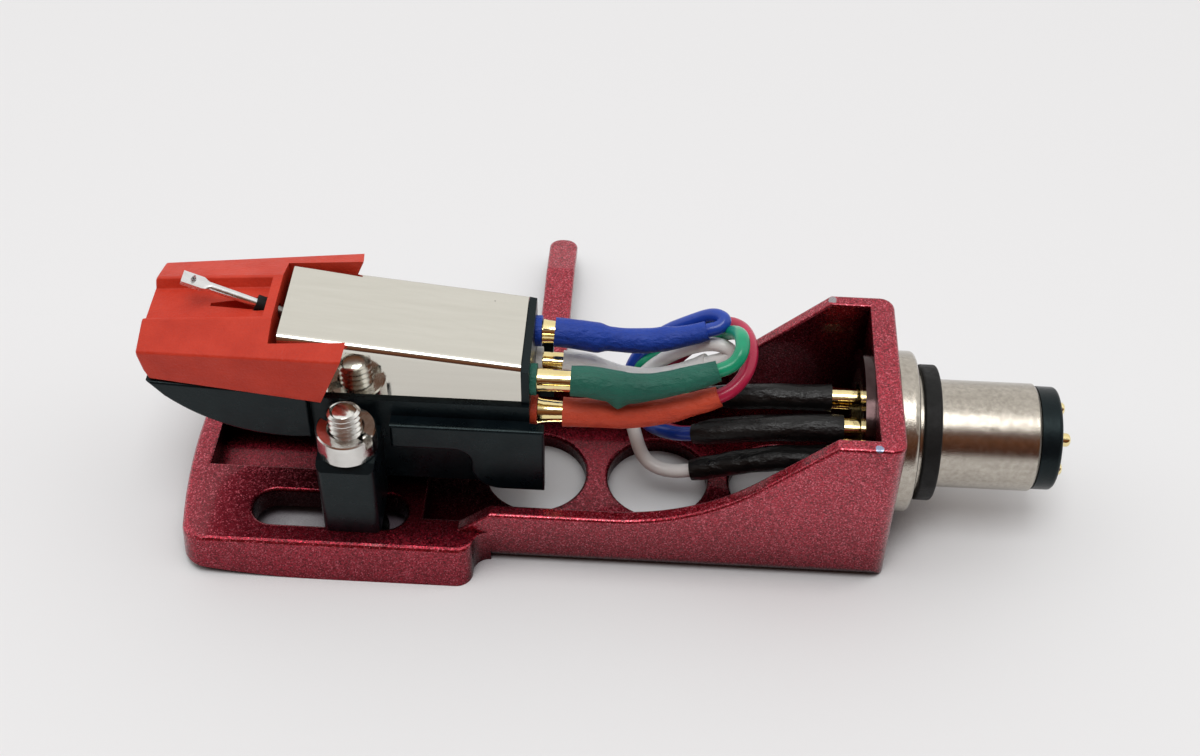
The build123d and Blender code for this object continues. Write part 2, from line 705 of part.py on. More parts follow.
# Cantilever: a tube that is squeezed flat at the tip, where the diamond goes through it
tip_plane = Plane(origin=pivot, x_dir=(0, 1, 0), z_dir=aim)
tube_reach = cantilever_reach - flat_length - flat_taper
with BuildPart() as cantilever:
    with BuildSketch(tip_plane.offset(-cantilever_tail)):
        Circle(cantilever_radius)
    extrude(amount=tube_reach + cantilever_tail)
    with BuildSketch(tip_plane.offset(tube_reach)):
        Circle(cantilever_radius)
    with BuildSketch(tip_plane.offset(tube_reach + flat_taper)):
        Rectangle(flat_width, flat_thick)
    loft()
    with BuildSketch(tip_plane.offset(tube_reach + flat_taper)):
        Rectangle(flat_width, flat_thick)
    extrude(amount=flat_length)
    tip_foot = pivot + aim * (cantilever_reach - tip_inset)
    with BuildSketch(Plane(origin=tip_foot, x_dir=(0, 1, 0), z_dir=aim_up)):
        Circle(tip_radius + fit_gap)
    extrude(amount=flat_thick, both=True, mode=Mode.SUBTRACT)
finish(cantilever, "cantilever")

with BuildPart() as stylus_tip:
    with BuildSketch(Plane(origin=tip_foot - aim_up * flat_thick, x_dir=(0, 1, 0), z_dir=aim_up)):
        Circle(tip_radius)
    extrude(amount=flat_thick + tip_shank)
    shank_end = tip_foot + aim_up * tip_shank
    with BuildSketch(Plane(origin=shank_end, x_dir=(0, 1, 0), z_dir=aim_up)):
        Circle(tip_radius)
    with BuildSketch(Plane(origin=shank_end + aim_up * tip_cone, x_dir=(0, 1, 0), z_dir=aim_up)):
        Circle(tip_radius * 0.2)
    loft()
finish(stylus_tip, "stylus_tip")

with BuildPart() as damper:
    with BuildSketch(tip_plane.offset(-damper_half_length)):
        Circle(damper_radius)
        Circle(cantilever_radius + slip_gap / 2, mode=Mode.SUBTRACT)
    extrude(amount=2 * damper_half_length)
finish(damper, "damper")

with BuildPart() as magnet:
    with BuildSketch(tail_plane.offset(cantilever_tail)):
        Circle(magnet_radius)
    extrude(amount=magnet_length)
finish(magnet, "magnet")

# Pole pieces beside the magnet, each with a leg that carries a coil
for place, side in (("near", -1), ("far", 1)):
    bar_y = side * (pole_inner + pole_thick / 2)
    leg_y = side * (pole_inner + coil_radius - pole_thick / 2)
    with BuildPart() as pole_piece:
        with BuildSketch(Plane.XY.offset(pole_low)):
            with BuildLine():
                Polyline(
                    (pole_front, side * pole_inner), (coil_x + pole_thick, side * pole_inner),
                    (coil_x + pole_thick, leg_y + side * pole_thick),
                    (coil_x - pole_thick, leg_y + side * pole_thick),
                    (coil_x - 3 * pole_thick, side * (pole_inner + pole_thick)),
                    (pole_front, side * (pole_inner + pole_thick)), close=True,
                )
            make_face()
        extrude(amount=pole_high - pole_low)
        with BuildSketch(Plane.XY.offset(coil_bay_floor)):
            with Locations((coil_x, leg_y)):
                Circle(pole_thick)
        extrude(amount=pole_low - coil_bay_floor)
    finish(pole_piece, "pole_piece_" + place)

    with BuildPart() as coil:
        with BuildSketch(Plane.XY.offset(coil_bay_floor)):
            with Locations((coil_x, leg_y)):
                Circle(coil_radius)
                Circle(pole_thick + fit_gap, mode=Mode.SUBTRACT)
        extrude(amount=pole_low - coil_gap - coil_bay_floor)
    finish(coil, "coil_" + place)

# Leads: each runs from a terminal of the cartridge, in a loop, to a contact of the plug
lead_contacts = {"green": "far_high", "red": "far_low", "blue": "near_high", "white": "near_low"}
bare_clips = {"green": 2.3, "red": 1.7, "blue": 0.8, "white": 1.2}   # clip showing ahead of the sleeve
bare_contacts = {"green": 1.8, "red": 1.6, "blue": 0.9, "white": 1.4}  # clip showing behind the black sleeve
sleeve_ends = {
    "green": (26.2, -1.7, 14.8),
    "red": (26.4, -1.9, 12.0),
    "blue": (25.0, 3.2, 14.4),
    "white": (25.0, 2.7, 10.8),
}
black_starts = {
    "green": (27.6, 1.57, 9.5),
    "red": (26.5, 1.57, 5.2),
    "blue": (24.4, -1.57, 8.2),
    "white": (24.6, -1.57, 4.3),
}
loops = {
    "green": (
        (28.2, -1.2, 15.0), (28.7, 0.2, 15.0), (27.4, 1.0, 14.6), (23.8, 0.6, 13.8),
        (19.4, 0.7, 12.6), (17.2, 0.5, 10.9), (17.4, 0.7, 9.2), (19.8, 1.4, 9.0), (23.6, 1.57, 9.2),
    ),
    "red": (
        (28.8, -0.9, 12.5), (29.3, 1.3, 12.4), (28.6, 3.4, 11.6), (26.7, 4.5, 10.2),
        (23.9, 4.7, 7.9), (22.7, 3.8, 5.7), (23.8, 2.2, 4.9),
    ),
    "blue": (
        (26.5, 3.6, 14.5), (26.9, 4.8, 14.1), (25.4, 5.7, 13.4), (22.3, 5.8, 11.2),
        (20.4, 5.0, 8.6), (20.7, 2.7, 7.3), (22.1, 0.1, 7.2),
    ),
    "white": (
        (26.9, 2.4, 11.0), (27.3, 1.1, 11.3), (25.8, 0.1, 11.5), (22.6, 0.0, 11.1),
        (20.2, -0.1, 9.5), (19.7, -0.3, 6.9), (20.8, -1.1, 4.9), (22.7, -1.5, 4.1),
    ),
}
stretch = (box_inner - core_rear) / lead_span


def along_lead(points):
    # The routes follow the distance between the end plate and the rear wall
    return [(core_rear + (x - core_rear) * stretch, y, z) for x, y, z in points]


def bend_radii(points):
    # Each bend takes the same share of the shorter of its two runs
    radii = []
    for before, corner, after in zip(points, points[1:], points[2:]):
        run_in = Vector(*corner) - Vector(*before)
        run_out = Vector(*after) - Vector(*corner)
        half_turn = math.radians(run_in.get_angle(run_out)) / 2
        shorter = min(run_in.length, run_out.length)
        radii.append(corner_share * shorter / math.tan(half_turn))
    return radii


def step_from(start, towards, distance):
    # Point at a distance from start on the line to another point
    way = (Vector(*towards) - Vector(*start)).normalized()
    return Vector(*start) + way * distance


for colour, terminal in terminals.items():
    contact = contacts[lead_contacts[colour]]
    clip_inner = terminal_radius + fit_gap
    clip_outer = clip_inner + clip_wall
    sleeve_outer = clip_outer + fit_gap + sleeve_wall
    wire_room = wire_radius + wire_gap
    sleeve_start = clip_start + bare_clips[colour]
    black_end = contact_inner_end + clip_seat - bare_contacts[colour]
    shell_clip_start = contact_inner_end - clip_grip
    first = (sleeve_start, *terminal)
    bend = (clip_reach + sleeve_run, *terminal)
    last_bend = (contact_inner_end - black_run, *contact)
    last = (black_end, *contact)
    free = along_lead([sleeve_ends[colour], *loops[colour], black_starts[colour]])
    route = [(terminal_outer_end + slip_gap, *terminal), bend, *free, last_bend,
             (contact_inner_end - slip_gap, *contact)]
    radii = bend_radii(route)
    radii[0] = sleeve_bend_radius
    radii[-1] = sleeve_bend_radius
    print("lead", colour, "bend radii", [round(radius, 1) for radius in radii])

    with BuildPart() as terminal_pin:
        with BuildSketch(Plane.YZ.offset(terminal_inner_end)):
            with Locations(terminal):
                Circle(terminal_radius)
        extrude(amount=terminal_outer_end - terminal_inner_end)
    finish(terminal_pin, "terminal_pin_" + colour)

    with BuildPart() as pin_ring:
        with BuildSketch(Plane.YZ.offset(core_rear)):
            with Locations(terminal):
                Circle(ring_radius)
                Circle(terminal_radius + fit_gap, mode=Mode.SUBTRACT)
        extrude(amount=ring_thick)
    finish(pin_ring, "pin_ring_" + colour)

    with BuildPart() as cartridge_clip:
        with BuildSketch(Plane.YZ.offset(clip_start)):
            with Locations(terminal):
                Circle(clip_outer)
                Circle(clip_inner, mode=Mode.SUBTRACT)
        extrude(amount=clip_length)
    finish(cartridge_clip, "cartridge_clip_" + colour)

    with BuildPart() as lead_wire:
        with BuildLine() as wire_path:
            FilletPolyline(*route, radius=radii)
        with BuildSketch(Plane(origin=wire_path.line @ 0, z_dir=wire_path.line % 0)):
            Circle(wire_radius)
        sweep(path=wire_path.line)
    finish(lead_wire, "lead_wire_" + colour)

    # The coloured sleeve covers the clip and ends before the first free bend of the wire
    first_run = (Vector(*free[1]) - Vector(*free[0])).length
    sleeve_tail = step_from(free[0], bend, corner_share * first_run + slip_gap)
    with BuildPart() as cartridge_sleeve:
        with BuildLine() as sleeve_path:
            FilletPolyline(first, bend, sleeve_tail, radius=sleeve_bend_radius)
        with BuildSketch(Plane.YZ.offset(sleeve_start)):
            with Locations(terminal):
                Circle(sleeve_outer)
        sweep(path=sleeve_path.line)
        with BuildSketch(Plane.YZ.offset(sleeve_start)):
            with Locations(terminal):
                Circle(wire_room)
        sweep(path=sleeve_path.line, mode=Mode.SUBTRACT)
        with BuildSketch(Plane.YZ.offset(sleeve_start)):
            with Locations(terminal):
                Circle(clip_outer + fit_gap)
        extrude(amount=clip_reach + slip_gap - sleeve_start, mode=Mode.SUBTRACT)
    finish(cartridge_sleeve, "cartridge_sleeve_" + colour)

    # The black sleeve starts after the last free bend and covers the front of the shell's clip
    shell_inner = wire_radius + wire_gap
    shell_outer = shell_inner + clip_wall
    last_run = (Vector(*free[-1]) - Vector(*free[-2])).length
    black_head = step_from(free[-1], last_bend, corner_share * last_run + slip_gap)
    with BuildPart() as headshell_sleeve:
        with BuildLine() as black_path:
            FilletPolyline(last, last_bend, black_head, radius=sleeve_bend_radius)
        with BuildSketch(Plane.YZ.offset(black_end)):
            with Locations(contact):
                Circle(shell_outer + fit_gap + sleeve_wall)
        sweep(path=black_path.line)
        with BuildSketch(Plane.YZ.offset(black_end)):
            with Locations(contact):
                Circle(wire_room)
        sweep(path=black_path.line, mode=Mode.SUBTRACT)
        with BuildSketch(Plane.YZ.offset(black_end)):
            with Locations(contact):
                Circle(shell_outer + fit_gap)
        extrude(amount=shell_clip_start - slip_gap - black_end, mode=Mode.SUBTRACT)
    finish(headshell_sleeve, "headshell_sleeve_" + colour)

    with BuildPart() as headshell_clip:
        with BuildSketch(Plane.YZ.offset(shell_clip_start)):
            with Locations(contact):
                Circle(shell_outer)
                Circle(shell_inner, mode=Mode.SUBTRACT)
        extrude(amount=clip_grip + clip_seat)
    finish(headshell_clip, "headshell_clip_" + colour)
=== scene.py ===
import json
import math

import bmesh
import bpy
from mathutils import Matrix, Vector, noise


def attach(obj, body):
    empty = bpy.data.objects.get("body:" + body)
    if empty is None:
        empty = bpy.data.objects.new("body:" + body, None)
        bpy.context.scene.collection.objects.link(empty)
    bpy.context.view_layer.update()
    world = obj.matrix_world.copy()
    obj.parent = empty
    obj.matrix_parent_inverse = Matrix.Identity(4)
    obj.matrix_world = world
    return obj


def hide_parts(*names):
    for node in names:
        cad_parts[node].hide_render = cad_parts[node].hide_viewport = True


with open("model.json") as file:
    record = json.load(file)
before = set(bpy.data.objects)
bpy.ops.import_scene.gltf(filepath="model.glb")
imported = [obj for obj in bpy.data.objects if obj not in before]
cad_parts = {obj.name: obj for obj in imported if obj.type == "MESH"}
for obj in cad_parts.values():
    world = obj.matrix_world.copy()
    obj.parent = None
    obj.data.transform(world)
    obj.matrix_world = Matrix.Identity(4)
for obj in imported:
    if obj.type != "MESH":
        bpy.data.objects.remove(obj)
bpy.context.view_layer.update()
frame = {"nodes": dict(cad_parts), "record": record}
nodes = frame["nodes"]
record = frame["record"]
slotOf = {row["node"]: row["material_slot"] for row in record["subparts"]}
bodyOf = {node: body for body, members in record["behaviour"]["bodies"].items() for node in members}
mm = 0.001
print("frame loaded,", len(nodes), "nodes")


# Camera, floor and light
view = {
    "place": (21.236, -88.033, 101.556),     # mm
    "right": (0.99846, 0.05381, 0.01346),
    "up": (-0.04780, 0.71177, 0.70078),
    "lens": 51.51,                            # mm on a 36 mm sensor
}


def addCamera():
    right, up = Vector(view["right"]), Vector(view["up"])
    back = right.cross(up)
    data = bpy.data.cameras.new("camera")
    data.sensor_width = 36.0
    data.sensor_fit = "HORIZONTAL"
    data.lens = view["lens"]
    data.clip_start = 0.005
    data.clip_end = 10.0
    data.dof.use_dof = False
    cam = bpy.data.objects.new("camera", data)
    turn = Matrix((right, up, back)).transposed().to_4x4()
    cam.matrix_world = Matrix.Translation(Vector(view["place"]) * mm) @ turn
    bpy.context.scene.collection.objects.link(cam)
    bpy.context.scene.camera = cam


studio = {
    "floorSize": 3.0,
    "floorColour": (0.81, 0.822, 0.838, 1),
    # painted shade: the floor's colour where the object shades it, deepest in the slot under the plate
    "floorShadeColour": (0.12, 0.09, 0.11, 1),
    "softbox": {"place": (0.01, -0.155, 0.58), "aim": (0.01, 0, 0.01), "size": 0.26, "power": 1.20},
    # the room over the object, from the horizon behind the camera to the one beyond the object
    "room": (
        (0.00, (0.09, 0.035, 0.025)), (0.11, (0.11, 0.045, 0.025)), (0.20, (0.21, 0.085, 0.04)),
        (0.27, (0.16, 0.09, 0.07)), (0.34, (0.52, 0.51, 0.50)), (0.50, (1.14, 1.13, 1.11)),
        (0.70, (0.90, 0.89, 0.875)), (0.80, (0.90, 0.89, 0.875)), (1.00, (0.90, 0.895, 0.88)),
    ),
    "plain": (0.63, 0.63, 0.63, 1),           # what the camera sees past the floor
}


def addLight(name):
    facts = studio[name]
    data = bpy.data.lights.new(name, "AREA")
    data.shape = "SQUARE"
    data.size = facts["size"]
    data.energy = facts["power"]
    lamp = bpy.data.objects.new(name + "Light", data)
    lamp.location = facts["place"]
    away = Vector(facts["place"]) - Vector(facts["aim"])
    lamp.rotation_euler = away.to_track_quat("Z", "Y").to_euler()
    bpy.context.scene.collection.objects.link(lamp)


def put(tree, kind, inputs=None, **settings):
    node = tree.nodes.new(kind)
    for key, value in settings.items():
        setattr(node, key, value)
    for key, value in (inputs or {}).items():
        node.inputs[key].default_value = value
    return node


def join(tree, source, target):
    tree.links.new(source, target)


def addFloor():
    bm = bmesh.new()
    bmesh.ops.create_grid(bm, x_segments=2, y_segments=2, size=studio["floorSize"] / 2)
    mesh = bpy.data.meshes.new("floor")
    bm.to_mesh(mesh)
    bm.free()
    floor = bpy.data.objects.new("floor", mesh)
    bpy.context.scene.collection.objects.link(floor)
    mat = bpy.data.materials.new("paperFloor")
    mat.use_nodes = True
    shader = mat.node_tree.nodes["Principled BSDF"]
    tree = mat.node_tree
    # painted shade: ambient occlusion darkens the floor towards the shade colour under and beside the object
    # and in the slot
    near = put(tree, "ShaderNodeAmbientOcclusion", {"Distance": 0.0045}, samples=6)
    clear = put(tree, "ShaderNodeMapRange", {"From Min": 0.22, "From Max": 0.58})
    tone = put(tree, "ShaderNodeMix", data_type="RGBA")
    tone.inputs["A"].default_value = studio["floorShadeColour"]
    tone.inputs["B"].default_value = studio["floorColour"]
    join(tree, near.outputs["AO"], clear.inputs["Value"])
    join(tree, clear.outputs["Result"], tone.inputs["Factor"])
    join(tree, tone.outputs["Result"], shader.inputs["Base Color"])
    shader.inputs["Roughness"].default_value = 0.85
    shader.inputs["Specular IOR Level"].default_value = 0.1
    mesh.materials.append(mat)


def addWorld():
    world = bpy.data.worlds.new("studioRoom")
    world.use_nodes = True
    bpy.context.scene.world = world
    tree = world.node_tree
    place = put(tree, "ShaderNodeTexCoord")
    split = put(tree, "ShaderNodeSeparateXYZ")
    away = put(tree, "ShaderNodeMath", operation="MULTIPLY")
    away.inputs[1].default_value = -1.0
    arch = put(tree, "ShaderNodeMath", operation="ARCTAN2")
    share = put(tree, "ShaderNodeMapRange", {"From Max": math.pi})
    room = put(tree, "ShaderNodeValToRGB")
    join(tree, place.outputs["Generated"], split.inputs[0])
    join(tree, split.outputs["Y"], away.inputs[0])
    join(tree, split.outputs["Z"], arch.inputs[0])
    join(tree, away.outputs[0], arch.inputs[1])
    join(tree, arch.outputs[0], share.inputs["Value"])
    join(tree, share.outputs["Result"], room.inputs["Fac"])
    stops = room.color_ramp.elements
    while len(stops) < len(studio["room"]):
        stops.new(1.0)
    for stop, (height, tone) in zip(stops, studio["room"]):
        stop.position = height
        stop.color = (*tone, 1)
    seen = put(tree, "ShaderNodeLightPath")
    plain = put(tree, "ShaderNodeMix", data_type="RGBA")
    plain.inputs["B"].default_value = studio["plain"]
    join(tree, seen.outputs["Is Camera Ray"], plain.inputs["Factor"])
    join(tree, room.outputs["Color"], plain.inputs["A"])
    join(tree, plain.outputs["Result"], tree.nodes["Background"].inputs["Color"])


addCamera()
addFloor()
addWorld()
addLight("softbox")
bpy.context.scene.view_settings.view_transform = "Standard"
print("camera, floor and light")


# Shared effects
def newGroup(name, inputs, outputs):
    tree = bpy.data.node_groups.new(name, "ShaderNodeTree")
    for label, kind, value in inputs:
        socket = tree.interface.new_socket(label, in_out="INPUT", socket_type=kind)
        socket.default_value = value
    for label, kind in outputs:
        tree.interface.new_socket(label, in_out="OUTPUT", socket_type=kind)
    return tree, put(tree, "NodeGroupInput"), put(tree, "NodeGroupOutput")


def grainGroup():
    tree, given, out = newGroup(
        "grain",
        (("Scale", "NodeSocketFloat", 800.0), ("Stretch", "NodeSocketVector", (1, 1, 1)),
         ("Low", "NodeSocketFloat", 0.0), ("High", "NodeSocketFloat", 1.0)),
        (("Value", "NodeSocketFloat"),),
    )
    place = put(tree, "ShaderNodeTexCoord")
    drawn = put(tree, "ShaderNodeVectorMath", operation="MULTIPLY")
    cloud = put(tree, "ShaderNodeTexNoise", {"Detail": 4.0, "Roughness": 0.6})
    spread = put(tree, "ShaderNodeMapRange", {"From Min": 0.3, "From Max": 0.7})
    join(tree, place.outputs["Object"], drawn.inputs[0])
    join(tree, given.outputs["Stretch"], drawn.inputs[1])
    join(tree, drawn.outputs[0], cloud.inputs["Vector"])
    join(tree, given.outputs["Scale"], cloud.inputs["Scale"])
    join(tree, cloud.outputs["Fac"], spread.inputs["Value"])
    join(tree, given.outputs["Low"], spread.inputs["To Min"])
    join(tree, given.outputs["High"], spread.inputs["To Max"])
    join(tree, spread.outputs["Result"], out.inputs["Value"])
    return tree


def flakeGroup():
    tree, given, out = newGroup(
        "flakes",
        (("Scale", "NodeSocketFloat", 8000.0), ("Tilt", "NodeSocketFloat", 0.3)),
        (("Value", "NodeSocketFloat"), ("Spark", "NodeSocketFloat"), ("Normal", "NodeSocketVector")),
    )
    place = put(tree, "ShaderNodeTexCoord")
    cells = put(tree, "ShaderNodeTexVoronoi", feature="F1")
    split = put(tree, "ShaderNodeSeparateColor")
    spark = put(tree, "ShaderNodeMapRange", {"From Min": 0.80, "From Max": 1.0})
    lean = put(tree, "ShaderNodeVectorMath", operation="SUBTRACT")
    lean.inputs[1].default_value = (0.5, 0.5, 0.5)
    amount = put(tree, "ShaderNodeVectorMath", operation="SCALE")
    shape = put(tree, "ShaderNodeNewGeometry")
    tilted = put(tree, "ShaderNodeVectorMath", operation="ADD")
    unit = put(tree, "ShaderNodeVectorMath", operation="NORMALIZE")
    join(tree, place.outputs["Object"], cells.inputs["Vector"])
    join(tree, given.outputs["Scale"], cells.inputs["Scale"])
    join(tree, cells.outputs["Color"], split.inputs[0])
    join(tree, split.outputs[1], spark.inputs["Value"])
    join(tree, cells.outputs["Color"], lean.inputs[0])
    join(tree, lean.outputs[0], amount.inputs[0])
    join(tree, given.outputs["Tilt"], amount.inputs["Scale"])
    join(tree, shape.outputs["Normal"], tilted.inputs[0])
    join(tree, amount.outputs[0], tilted.inputs[1])
    join(tree, tilted.outputs[0], unit.inputs[0])
    join(tree, split.outputs[0], out.inputs["Value"])
    join(tree, spark.outputs["Result"], out.inputs["Spark"])
    join(tree, unit.outputs[0], out.inputs["Normal"])
    return tree


def spotGroup():
    tree, given, out = newGroup(
        "spot",
        (("Place", "NodeSocketVector", (0, 0, 0)), ("Radius", "NodeSocketFloat", 0.001)),
        (("Mask", "NodeSocketFloat"),),
    )
    place = put(tree, "ShaderNodeTexCoord")
    cloud = put(tree, "ShaderNodeTexNoise", {"Scale": 2200.0, "Detail": 3.0})
    reach = put(tree, "ShaderNodeVectorMath", operation="DISTANCE")
    share = put(tree, "ShaderNodeMath", operation="DIVIDE")
    ragged = put(tree, "ShaderNodeMath", operation="ADD")
    mask = put(tree, "ShaderNodeMapRange", {"From Min": 1.55, "From Max": 1.4})
    join(tree, place.outputs["Object"], reach.inputs[0])
    join(tree, given.outputs["Place"], reach.inputs[1])
    join(tree, place.outputs["Object"], cloud.inputs["Vector"])
    join(tree, reach.outputs["Value"], share.inputs[0])
    join(tree, given.outputs["Radius"], share.inputs[1])
    join(tree, share.outputs[0], ragged.inputs[0])
    join(tree, cloud.outputs["Fac"], ragged.inputs[1])
    join(tree, ragged.outputs[0], mask.inputs["Value"])
    join(tree, mask.outputs["Result"], out.inputs["Mask"])
    return tree


groups = {"grain": grainGroup(), "flakes": flakeGroup(), "spot": spotGroup()}


def useGroup(tree, name, inputs):
    node = put(tree, "ShaderNodeGroup")
    node.node_tree = groups[name]
    for key, value in inputs.items():
        node.inputs[key].default_value = value
    return node


def mixColours(tree, factor, first, second):
    mix = put(tree, "ShaderNodeMix", data_type="RGBA")
    join(tree, factor, mix.inputs["Factor"])
    for key, value in (("A", first), ("B", second)):
        if isinstance(value, bpy.types.NodeSocket):
            join(tree, value, mix.inputs[key])
        else:
            mix.inputs[key].default_value = (*value, 1)
    return mix.outputs["Result"]


def bumpFrom(tree, height, distance, strength=1.0):
    bump = put(tree, "ShaderNodeBump", {"Strength": strength, "Distance": distance * mm})
    join(tree, height, bump.inputs["Height"])
    return bump.outputs["Normal"]


# Finishes. Each has two tones mixed by a cloud, a roughness range and a fine relief.
finishFacts = {
    "nickel": {
        "tones": ((0.53, 0.49, 0.43), (0.39, 0.355, 0.305)), "cloud": 2600, "stretch": (1, 1, 1),
        "rough": (0.13, 0.24), "metal": 1.0, "relief": (12000, 0.0045),
    },
    "dark_nickel": {
        "tones": ((0.07, 0.045, 0.045), (0.04, 0.025, 0.025)), "cloud": 900, "stretch": (1, 1, 1),
        "rough": (0.10, 0.18), "metal": 1.0, "relief": (7000, 0.0016),
    },
    "shield_metal": {
        "tones": ((0.73, 0.71, 0.64), (0.69, 0.67, 0.60)), "cloud": 260, "stretch": (0.3, 6, 6),
        "rough": (0.04, 0.08), "metal": 1.0, "relief": (420, 0.0004),
        # two small dark spots painted on the shield top
        "darkSpots": (((10.65, 2.9, 16.77), 0.17), ((9.9, 2.6, 16.75), 0.07)),
    },
    "screw_metal": {
        "tones": ((0.82, 0.81, 0.78), (0.64, 0.63, 0.60)), "cloud": 700, "stretch": (1, 1, 1),
        "rough": (0.10, 0.22), "metal": 1.0, "relief": (2500, 0.006),
    },
    "bright_alloy": {
        "tones": ((0.84, 0.84, 0.84), (0.72, 0.72, 0.72)), "cloud": 1500, "stretch": (0.2, 1, 1),
        "rough": (0.18, 0.30), "metal": 1.0, "relief": (4000, 0.002),
    },
    "gold": {
        "tones": ((0.93, 0.80, 0.44), (0.84, 0.67, 0.30)), "cloud": 800, "stretch": (1, 1, 1),
        "rough": (0.06, 0.14), "metal": 1.0, "relief": (1500, 0.008),
    },
    "magnet_metal": {
        "tones": ((0.32, 0.31, 0.30), (0.22, 0.21, 0.20)), "cloud": 2500, "stretch": (1, 1, 1),
        "rough": (0.30, 0.45), "metal": 1.0, "relief": (6000, 0.006),
    },
    "soft_iron": {
        "tones": ((0.40, 0.39, 0.38), (0.30, 0.29, 0.27)), "cloud": 1800, "stretch": (1, 1, 0.3),
        "rough": (0.28, 0.45), "metal": 1.0, "relief": (5000, 0.006),
    },
    "copper_wire": {
        "tones": ((0.78, 0.36, 0.20), (0.50, 0.20, 0.10)), "cloud": 1200, "stretch": (1, 1, 14),
        "rough": (0.22, 0.38), "metal": 1.0, "relief": (1200, 0.05),
    },
    "black_plastic": {
        # painted reflection: the bluish tones and the specular tint give the black the sky's blue cast in
        # its reflections
        "tones": ((0.0022, 0.0050, 0.0072), (0.0014, 0.0028, 0.0042)), "cloud": 500, "stretch": (1, 1, 1),
        "rough": (0.24, 0.40), "metal": 0.0, "relief": (4200, 0.006),
        "gloss": 0.24, "skyTint": (0.74, 0.98, 1.0),
    },
    "red_plastic": {
        "tones": ((0.62, 0.050, 0.024), (0.52, 0.036, 0.017)), "cloud": 420, "stretch": (1, 1, 1),
        "rough": (0.30, 0.46), "metal": 0.0, "relief": (5200, 0.020), "gloss": 0.20,
    },
    "rubber": {
        "tones": ((0.010, 0.010, 0.010), (0.006, 0.006, 0.006)), "cloud": 900, "stretch": (1, 1, 1),
        "rough": (0.45, 0.65), "metal": 0.0, "relief": (3000, 0.012), "gloss": 0.2,
    },
    "diamond": {
        "tones": ((0.82, 0.84, 0.86), (0.62, 0.65, 0.68)), "cloud": 4000, "stretch": (1, 1, 1),
        "rough": (0.03, 0.08), "metal": 0.0, "relief": (9000, 0.001),
    },
    "green_sleeve": {
        "tones": ((0.016, 0.145, 0.100), (0.010, 0.098, 0.070)), "cloud": 500, "stretch": (0.5, 1, 1),
        "rough": (0.34, 0.56), "metal": 0.0, "relief": (3200, 0.06),
    },
    "red_sleeve": {
        "tones": ((0.66, 0.085, 0.036), (0.50, 0.050, 0.022)), "cloud": 500, "stretch": (0.5, 1, 1),
        "rough": (0.34, 0.56), "metal": 0.0, "relief": (3200, 0.06),
    },
    "blue_sleeve": {
        "tones": ((0.012, 0.058, 0.40), (0.008, 0.038, 0.30)), "cloud": 500, "stretch": (0.5, 1, 1),
        "rough": (0.34, 0.56), "metal": 0.0, "relief": (3200, 0.06),
    },
    "white_sleeve": {
        "tones": ((0.90, 0.90, 0.88), (0.80, 0.80, 0.78)), "cloud": 500, "stretch": (0.5, 1, 1),
        "rough": (0.34, 0.56), "metal": 0.0, "relief": (3200, 0.06),
    },
    "black_sleeve": {
        "tones": ((0.0075, 0.007, 0.007), (0.004, 0.0037, 0.0037)), "cloud": 500, "stretch": (0.5, 1, 1),
        "rough": (0.24, 0.46), "metal": 0.0, "relief": (1500, 0.075), "gloss": 0.30,
    },
    "green_wire": {
        "tones": ((0.010, 0.36, 0.185), (0.006, 0.27, 0.135)), "cloud": 380, "stretch": (1, 1, 1),
        "rough": (0.26, 0.38), "metal": 0.0, "relief": (2600, 0.006),
    },
    "red_wire": {
        "tones": ((0.52, 0.020, 0.075), (0.40, 0.012, 0.052)), "cloud": 380, "stretch": (1, 1, 1),
        "rough": (0.26, 0.38), "metal": 0.0, "relief": (2600, 0.006),
    },
    "blue_wire": {
        "tones": ((0.016, 0.066, 0.44), (0.010, 0.046, 0.34)), "cloud": 380, "stretch": (1, 1, 1),
        "rough": (0.26, 0.38), "metal": 0.0, "relief": (2600, 0.006),
    },
    "white_wire": {
        "tones": ((0.92, 0.92, 0.90), (0.82, 0.82, 0.81)), "cloud": 380, "stretch": (1, 1, 1),
        "rough": (0.26, 0.38), "metal": 0.0, "relief": (2600, 0.006),
    },
}


def startMaterial(name):
    mat = bpy.data.materials.new(name)
    mat.use_nodes = True
    return mat, mat.node_tree, mat.node_tree.nodes["Principled BSDF"]


def finishMaterial(name):
    facts = finishFacts[name]
    mat, tree, shader = startMaterial(name)
    cloud = useGroup(tree, "grain", {"Scale": facts["cloud"], "Stretch": facts["stretch"]})
    tone = mixColours(tree, cloud.outputs["Value"], *facts["tones"])
    # small dark spots painted into the tone
    for place, radius in facts.get("darkSpots", ()):
        spot = useGroup(tree, "spot", {"Place": Vector(place) * mm, "Radius": radius * mm})
        tone = mixColours(tree, spot.outputs["Mask"], tone, (0.03, 0.028, 0.025))
    join(tree, tone, shader.inputs["Base Color"])
    low, high = facts["rough"]
    dull = useGroup(tree, "grain", {"Scale": facts["cloud"] * 1.7, "Low": low, "High": high})
    join(tree, dull.outputs["Value"], shader.inputs["Roughness"])
    scale, depth = facts["relief"]
    fine = useGroup(tree, "grain", {"Scale": scale, "Stretch": facts["stretch"]})
    join(tree, bumpFrom(tree, fine.outputs["Value"], depth), shader.inputs["Normal"])
    shader.inputs["Metallic"].default_value = facts["metal"]
    if not facts["metal"]:
        shader.inputs["Specular IOR Level"].default_value = facts.get("gloss", 0.3)
        # a finish's sky tint paints a reflected sky colour into its specular
        shader.inputs["Specular Tint"].default_value = (*facts.get("skyTint", (1, 1, 1)), 1)
    if name.endswith("_wire") and name != "copper_wire":
        shader.inputs["Coat Weight"].default_value = 0.25
    if name == "diamond":
        shader.inputs["Transmission Weight"].default_value = 0.85
        shader.inputs["IOR"].default_value = 2.4
    return mat
